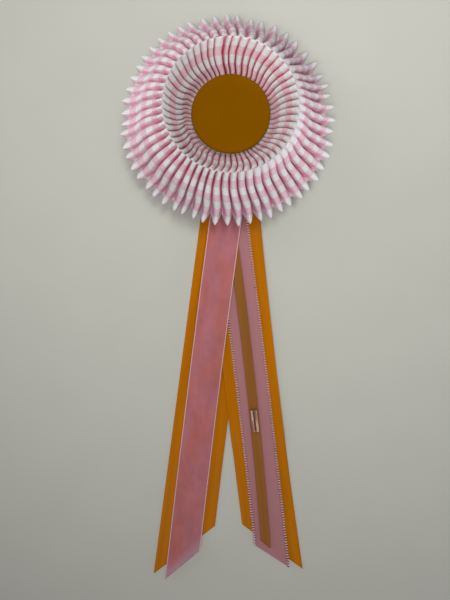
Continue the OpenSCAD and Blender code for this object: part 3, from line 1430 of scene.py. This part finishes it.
@dataclass
class Tail:
    """One ribbon tail.

    Attributes:
        name: the piece's name.
        stands_for: the solid that it replaces.
        slot: a slot name that is passed on when the piece is finished.
        ribbon: where it lies.
        seed: start of its ripples.
        lies_on: what it lies on.
        wall: its thickness.
        rise: the gap under it.
        ripple: how high it ripples.
        end_lift: how far its cut end stands up.
        edge_drop: how much lower its two smooth edges are.
        edge_width: their width.
        loop_depth: how deep its edges' loops are.
        loop_pitch: the distance between them.
        crowding: how much closer the columns are towards the edges.
        steps_across: number of columns.
        step_along: length of a row.
        declared: whether it is wide enough to be a sheet.
    """

    name: str
    stands_for: str
    slot: str
    ribbon: Ribbon
    seed: int
    lies_on: tuple[str, ...]
    wall: float = 0.5
    rise: float = 0.02
    ripple: float = 0.12
    end_lift: float = 0.0
    edge_drop: float = 0.0
    edge_width: float = 0.9
    loop_depth: float = 0.0
    loop_pitch: float = 1.75
    crowding: float = 0.85
    steps_across: int = 24
    step_along: float = 1.6
    declared: bool = True

    # Where the tail gets loose, along y, and how much of its end is lifted.
    LOOSE, END_LENGTH = (-60.0, -100.0), 22.0
    # Lengths of its long, short and twisting ripples, and the short one's height and slant.
    RIPPLES, SHORT_HEIGHT, SHORT_SLANT = (13.0, 7.3, 21.0), 0.6, 1.5
    # From where a column counts as the edge, on a scale of -1 to 1 across the tail.
    AT_EDGE = 0.999

    def build(self, material: bpy.types.Material) -> Piece:
        """Builds the tail.

        Args:
            material: its finish.

        Returns:
            The tail.
        """
        ribbon = self.ribbon
        chance = random.Random(self.seed)
        self.phases: list[float] = [chance.uniform(0, math.tau) for _ in self.RIPPLES]
        length = ribbon.TOP_Y - min(ribbon.left_end, ribbon.right_end)
        mesh = unrolled(self.steps_across, round(length / self.step_along))
        shape_strip(mesh, self.place, self.on_cloth, {"to_cut": self.to_cut})
        face_up(mesh)
        tail = finish_piece(self.name, mesh, material, self.slot, self.stands_for)
        thicken(tail, self.wall)
        if self.declared:
            list(self.lies_on)
        return tail

    def edge_and_end(self, across: float) -> Pair:
        """Finds a column of the strip.

        Args:
            across: its share of the width.

        Returns:
            How far it is to the side, from -1 to 1, and where it ends, along y.
        """
        side = between((across - 0.5) * 2, math.sin((across - 0.5) * math.pi), self.crowding)
        return side, between(self.ribbon.left_end, self.ribbon.right_end, (side + 1) / 2)

    def place(self, across: float, along: float) -> Point:
        """Places a point of the tail.

        Args:
            across: the point's share of the width.
            along: its share of the length.

        Returns:
            Its place.
        """
        ribbon = self.ribbon
        side, end = self.edge_and_end(across)
        y = between(ribbon.TOP_Y, end, along)
        half = ribbon.half(y)
        if abs(side) > self.AT_EDGE:
            loop = 0.5 - 0.5 * math.cos(math.tau * (ribbon.TOP_Y - y) / self.loop_pitch)
            half -= self.loop_depth * loop
        inset = (1 - abs(side)) * ribbon.width / 2
        z = ribbon.under(y) + self.rise + self.wall
        z -= self.edge_drop * (1 - eased(inset / self.edge_width))
        long, short, twisting = (y / ripple for ripple in self.RIPPLES)
        wave = math.sin(long + self.phases[0])
        wave += self.SHORT_HEIGHT * math.sin(short + side * self.SHORT_SLANT + self.phases[1])
        wave += side * math.sin(twisting + self.phases[2])
        z += self.ripple * ramp(y, *self.LOOSE) * (1 + wave / 2)
        z += self.end_lift * ramp(end - y, -self.END_LENGTH, 0.0)
        return ribbon.middle(y) + side * half, y, z

    def to_cut(self, across: float, along: float) -> float:
        """How far a point is from the cut end, in millimetres."""
        return (1 - along) * self.on_cloth(across, 1.0)[1]

    def on_cloth(self, across: float, along: float) -> Pair:
        """A point's place on the ribbon, in millimetres."""
        side, end = self.edge_and_end(across)
        return (side + 1) / 2 * self.ribbon.width, along * (self.ribbon.TOP_Y - end)


UNDER = ((-58.0, 0.0), (-330.0, 0.0))
RIGHT, PINK, BROWN = (
    ((-58.0, n), (-212.0, n), (-226.0, n - 1), (-330.0, n - 1)) for n in (1.0, 2.0, 3.0)
)
VELVET = (
    (-58.0, 4.0), (-110.0, 4.0), (-141.0, 3.0), (-173.0, 2.0), (-190.0, 1.0), (-330.0, 1.0),
)


def build_tails() -> list[Piece]:
    """Builds the five tails.

    Returns:
        The tails, the lowest first.
    """
    orange = Satin((0.5, 0.158, 0.0))
    pink = Ribbed((0.42, 0.175, 0.185), (0.84, 0.55, 0.57), width=23.2)
    bronze = Satin((0.285, 0.11, 0.022), streak=0.12, roughness=0.4)
    velvet = Velvet(
        nap=(0.46, 0.165, 0.185), rosy=(0.475, 0.15, 0.14), edge=(0.66, 0.42, 0.44),
        lifted=(0.47, 0.26, 0.32), width=21.6, edge_width=0.6,
    )
    left = Tail(
        "left_satin_ribbon", "tail_satin_left", "orange_satin",
        Ribbon(-1.55, -7.5, -0.57, 38, -308.3, -275.5, UNDER, 1.15), 1, (GROUND, "felt_disc"),
    )
    right = Tail(
        "right_satin_ribbon", "tail_satin_right", "orange_satin",
        Ribbon(2.15, 6.95, -1.15, 37.2, -274.4, -305.1, RIGHT, 0.7), 2, (left.name, GROUND),
    )
    looped = Tail(
        "looped_pink_ribbon", "tail_pink", "pink_ribbon",
        Ribbon(0.9, 6.9, 0.7, 23.2, -287.5, -303.5, PINK), 3, (right.name,),
        rise=0.1, loop_depth=2.0, crowding=0.0, step_along=0.4, steps_across=14,
    )
    narrow = Tail(
        "narrow_brown_ribbon", "tail_brown", "brown_satin",
        Ribbon(0.2, 6.25, 1.8, 6.2, -284.1, -289.5, BROWN), 4, (looped.name,),
        wall=0.7, rise=0.45, ripple=0.03, steps_across=10, declared=False,
    )
    top = Tail(
        "velvet_ribbon", "tail_velvet", "rose_velvet",
        Ribbon(-3.3, -7.1, -0.7, 21.6, -311, -291, VELVET), 5, (left.name, looped.name),
        wall=0.6, rise=0.1, ripple=0.1, end_lift=1.2, edge_drop=0.3,
    )
    return [
        left.build(orange.material("orange_satin_left")),
        right.build(orange.material("orange_satin_right")),
        looped.build(pink.material("pink_ribbon")),
        narrow.build(bronze.material("brown_satin")),
        top.build(velvet.material("rose_velvet")),
    ]


# ---------------------------------------------------------------- beads


@dataclass
class BugleBeads:
    """Two twisted tubes of glass, side by side on the narrow tail, and the thread that holds them.

    Attributes:
        length: a bead's length.
        width: its width.
        hole: its thread hole's width.
        bore: how far into the hole the tube is built.
        cut_share: the cut face's width, as a share of the bead's.
        bevel: the length of the softened edge round the cut face.
        flatness: how flat its sides are, from 0 for a round tube to 1.
        twist: how far it turns from end to end.
        sides: number of its sides.
        slices: number of rows along a side.
        middle: the place between the two beads.
        lean: the pair's lean from straight down.
        spacing: distance between the two.
        thread: the thread's width.
    """

    length: float = 14.7
    width: float = 2.4
    hole: float = 0.9
    bore: float = 1.2
    cut_share: float = 0.84
    bevel: float = 0.2
    flatness: float = 0.7
    twist: float = 75.0
    sides: int = 6
    slices: int = 36
    middle: Point = (16.4, -201.9, 6.0)
    lean: float = 6.8
    spacing: float = 2.6
    thread: float = 0.3

    # A stitch's path, as (drop below the hole, way out along the bead).
    STITCH = ((0, 0), (0, 1.0), (0.12, 1.35), (0.55, 1.7), (1.1, 1.85), (1.5, 1.9))

    def lay(self, mesh: Mesh, side: int) -> None:
        """Turns a shape made along z to its place on the tail.

        Args:
            mesh: the shape.
            side: -1 for the left bead, and 1 for the right one.
        """
        rotate(mesh, 90, "X")
        bmesh.ops.translate(mesh, verts=mesh.verts, vec=(side * self.spacing / 2, 0, 0))
        rotate(mesh, self.lean, "Z")
        bmesh.ops.translate(mesh, verts=mesh.verts, vec=self.middle)

    def rings(self) -> list[Pair]:
        """Draws a bead's outline, which goes in at both ends, where the glass is cut.

        Returns:
            Each ring's radius and height along the bead.
        """
        inner, outer, end = self.hole / 2, self.width / 2, self.length / 2
        low = [(inner, -end + self.bore), (inner, -end), (outer * self.cut_share, -end)]
        heights = [
            between(-end + self.bevel, end - self.bevel, k / self.slices)
            for k in range(self.slices + 1)
        ]
        return low + [(outer, z) for z in heights] + [(radius, -z) for radius, z in reversed(low)]

    def on_tube(self, side: int, around: float, ring: Pair) -> Point:
        """Places a point of a bead.

        Args:
            side: -1 for the left bead, and 1 for the right one.
            around: the point's share of the way round.
            ring: its ring's radius and height.

        Returns:
            Its place, with the bead along z.
        """
        radius, z = ring
        angle = math.tau * around
        facet = math.tau / self.sides
        if radius > self.hole / 2:
            flat = math.cos(facet / 2) / math.cos((angle % facet) - facet / 2)
            radius *= between(1.0, flat, self.flatness)
        angle += side * math.radians(self.twist) * z / self.length
        return radius * math.cos(angle), radius * math.sin(angle), z

    def bead(self, name: str, stands_for: str, side: int, finish: Finish) -> Piece:
        """Builds one bead: a softened six-sided tube, twisted end to end, with its thread hole.

        Args:
            name: its name.
            stands_for: the solid that it replaces.
            side: -1 for the left bead, and 1 for the right one.
            finish: its coat.

        Returns:
            The bead.
        """
        rings = self.rings()
        last = len(rings) - 1
        mesh = unrolled(self.sides * 6, last)
        shape_strip(
            mesh,
            lambda around, share: self.on_tube(side, around, rings[round(share * last)]),
            lambda around, share: (around, share * self.length),
        )
        bmesh.ops.remove_doubles(mesh, verts=mesh.verts, dist=WELD)
        self.lay(mesh, side)
        bmesh.ops.recalc_face_normals(mesh, faces=mesh.faces)
        return finish_piece(name, mesh, finish.material(name), "bead_coat", stands_for)

    def stitch(self, side: int, end: int) -> bpy.types.Mesh:
        """Builds the thread at one end of a bead, out of its hole and down into the tail.

        Args:
            side: -1 for the left bead, and 1 for the right one.
            end: -1 for its lower end before it is laid, and 1 for its upper one.

        Returns:
            The stitch.
        """
        strand = new_mesh()
        bmesh.ops.create_circle(strand, cap_ends=False, segments=8, radius=self.thread / 2)
        bmesh.ops.translate(strand, verts=strand.verts, vec=(0, 0, end * (self.length / 2 - 1)))
        ring = strand.edges[:]
        for (drop0, out0), (drop1, out1) in zip(self.STITCH, self.STITCH[1:]):
            made = bmesh.ops.extrude_edge_only(strand, edges=ring)["geom"]
            verts = [item for item in made if isinstance(item, bmesh.types.BMVert)]
            ring = [item for item in made if isinstance(item, bmesh.types.BMEdge)]
            bmesh.ops.translate(strand, verts=verts, vec=(0, drop0 - drop1, end * (out1 - out0)))
        rotate(strand, 180, "Z")
        self.lay(strand, side)
        bmesh.ops.recalc_face_normals(strand, faces=strand.faces)
        data = bpy.data.meshes.new("strand")
        strand.to_mesh(data)
        strand.free()
        return data

    def stitches(self, finish: Finish) -> Piece:
        """Builds the thread of both beads.

        Args:
            finish: the thread's.

        Returns:
            The thread.
        """
        mesh = new_mesh()
        for side, end in ((-1, -1), (-1, 1), (1, -1), (1, 1)):
            stitch = self.stitch(side, end)
            mesh.from_mesh(stitch)
            bpy.data.meshes.remove(stitch)
        return finish_piece("bead_thread", mesh, finish.material("bead_thread"), "brown_satin")

    def build(self, coat: Finish, thread: Finish) -> list[Piece]:
        """Builds both beads and their thread.

        Args:
            coat: the beads' finish.
            thread: the thread's.

        Returns:
            The three pieces.
        """
        return [
            self.bead("bugle_left", "bead_left", -1, coat),
            self.bead("bugle_right", "bead_right", 1, coat),
            self.stitches(thread),
        ]


# ---------------------------------------------------------------- back


@dataclass
class Backing:
    """The felt disc behind the head and the pin clasp under it."""

    disc_radius: float = 40.0
    disc_low: float = 4.0
    disc_wall: float = 1.2
    disc_softness: float = 0.35
    pin_length: float = 30.0
    pin_width: float = 5.0
    bar_low: float = 3.0
    bar_softness: float = 0.2
    knuckle: float = 5.0
    knuckle_softness: float = 0.6
    wire: float = 0.5

    def rod(self, mesh: Mesh, radius: float, length: float, segments: int, place: Matrix) -> None:
        """Adds a closed rod, made along z about the origin, to a mesh at a place."""
        bmesh.ops.create_cone(
            mesh, cap_ends=True, segments=segments, radius1=radius, radius2=radius, depth=length,
            matrix=place,
        )

    def box(self, mesh: Mesh, low: Point, high: Point, softness: float) -> None:
        """Adds a box with softened edges to a mesh.

        Args:
            mesh: the mesh.
            low: the box's lowest corner.
            high: its highest corner.
            softness: how far its edges are rounded.
        """
        made = bmesh.ops.create_cube(mesh, size=1.0)["verts"]
        bmesh.ops.scale(mesh, vec=[b - a for a, b in zip(low, high)], verts=made)
        bmesh.ops.translate(mesh, vec=[(a + b) / 2 for a, b in zip(low, high)], verts=made)
        soften(mesh, list({edge for vert in made for edge in vert.link_edges}), softness, 2)

    def disc(self, finish: Finish) -> Piece:
        """Builds the disc with softened edges.

        Args:
            finish: its felt.

        Returns:
            The disc.
        """
        mesh = new_mesh()
        middle = Matrix.Translation((0, 0, self.disc_low + self.disc_wall / 2))
        self.rod(mesh, self.disc_radius, self.disc_wall, 96, middle)
        rims = [e for e in mesh.edges if abs(e.verts[0].co.z - e.verts[1].co.z) < 10 * WELD]
        soften(mesh, rims, self.disc_softness, 3)
        felt = finish.material("backing_felt")
        return finish_piece("felt_disc", mesh, felt, "backing_felt", "backing_disc")

    def clasp(self, finish: Finish) -> Piece:
        """Builds the bar, its knuckle and catch, and the wire between them.

        Args:
            finish: its plating.

        Returns:
            The clasp.
        """
        mesh = new_mesh()
        half, wide = self.pin_length / 2, self.pin_width / 2
        bar = (-half, -wide, self.bar_low), (half, wide, self.disc_low)
        self.box(mesh, *bar, self.bar_softness)
        for low in (-half, half - self.knuckle):
            knuckle = (low, -wide, 0), (low + self.knuckle, wide, self.bar_low)
            self.box(mesh, *knuckle, self.knuckle_softness)
        along_x = Matrix.Rotation(math.radians(90), 4, "Y")
        middle = Matrix.Translation((0, 0, self.bar_low / 2)) @ along_x
        self.rod(mesh, self.wire, 2 * (half - self.knuckle) + 1, 24, middle)
        steel = finish.material("pin_steel")
        return finish_piece("brooch_clasp", mesh, steel, "pin_steel", "pin_clasp")

    def build(self, felt: Finish, steel: Finish) -> list[Piece]:
        """Builds the disc and the clasp."""
        return [self.disc(felt), self.clasp(steel)]


# ---------------------------------------------------------------- studio


@dataclass(frozen=True)
class SoftLight:
    """A square lamp that points at the rosette. Its lengths are in metres."""

    name: str
    place: Point
    aim: Point
    size: float
    power: float
    spread: float
    colour: Colour

    def build(self) -> None:
        """Adds the lamp."""
        lamp = bpy.data.lights.new(self.name, "AREA")
        lamp.energy, lamp.size, lamp.color = self.power, self.size, self.colour
        lamp.spread = math.radians(self.spread)
        item = in_scene(self.name, lamp)
        item.location = self.place
        item.rotation_mode = "QUATERNION"
        beam = Vector(self.aim) - Vector(self.place)
        item.rotation_quaternion = beam.to_track_quat("-Z", "Y")


LAMPS = (
    SoftLight("low_left", (-1.05, 0.6, 0.42), (0, 0, 0), 0.8, 0.49, 60.0, (1.0, 0.98, 1.02)),
    SoftLight("raking_left", (-1.1, 0.6, 0.17), (0, 0, 0.02), 0.3, 0.15, 60.0, (1.0, 0.98, 1.02)),
    SoftLight("raking_front", (0.9, -0.9, 0.17), (0, 0, 0.02), 0.3, 0.31, 60.0, (0.97, 0.98, 1.05)),
    SoftLight("raking_right", (1.2, -0.32, 0.17), (0, 0, 0.02), 0.3, 0.09, 60.0, (0.97, 1.0, 1.03)),
    SoftLight("high_left", (-0.3, -0.5, 1.05), (0, 0.17, 0), 0.7, 0.65, 37.0, (1.03, 0.99, 0.98)),
    SoftLight("high_right", (0.3, 0.45, 1.05), (0.1, 0.12, 0), 0.7, 0.81, 46.0, (0.99, 1.0, 1.0)),
)


@dataclass
class Studio:
    """The floor, the camera and the soft light."""

    camera_place: Point = (-3.5, -120.2, 310.0)
    lens: float = 27.0
    sensor: float = 36.0
    clips: Pair = (0.01, 20.0)
    floor_half: float = 3000.0
    sky: Colour = (0.95, 0.98, 1.0)
    sky_strength: float = 0.18

    def build(self) -> None:
        """Builds everything that isn't the rosette."""
        self.floor()
        self.camera()
        for lamp in LAMPS:
            lamp.build()
        self.room()
        bpy.context.scene.view_settings.view_transform = "Standard"

    def room(self) -> None:
        """Fills the room with soft light."""
        world = bpy.data.worlds.new("room")
        bpy.context.scene.world = world
        world.use_nodes = True
        air = world.node_tree.nodes["Background"]
        air.inputs["Color"].default_value = (*self.sky, 1.0)
        air.inputs["Strength"].default_value = self.sky_strength

    def camera(self) -> None:
        """Makes the camera, which looks straight down."""
        data = bpy.data.cameras.new("camera")
        data.lens, data.sensor_width = self.lens, self.sensor
        data.clip_start, data.clip_end = self.clips
        item = in_scene("camera", data)
        item.location = Vector(self.camera_place) * MM
        bpy.context.scene.camera = item

    def floor(self) -> None:
        """Lays a plain pale floor."""
        mesh = new_mesh()
        bmesh.ops.create_grid(mesh, x_segments=2, y_segments=2, size=self.floor_half * MM)
        as_object(GROUND, mesh, PaleFloor().material(GROUND))


def main() -> None:
    """Builds the rosette's pieces in order and reports each of them."""
    logging.basicConfig(level=logging.INFO, format="%(name)s: %(message)s")
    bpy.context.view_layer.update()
    Studio().build()
    pieces = [outer_frill().build(Gingham()), inner_frill().build(INNER_GINGHAM)]
    pieces.append(CoveredButton().build(CoverCloth()))
    pieces += build_tails()
    pieces += BugleBeads().build(BeadCoat(), SewingThread())
    pieces += Backing().build(Felt(), PlatedSteel())
    for piece in pieces:
        log.info("%s: %d faces", piece.name, len(piece.data.polygons))


if __name__ == "__main__":
    main()
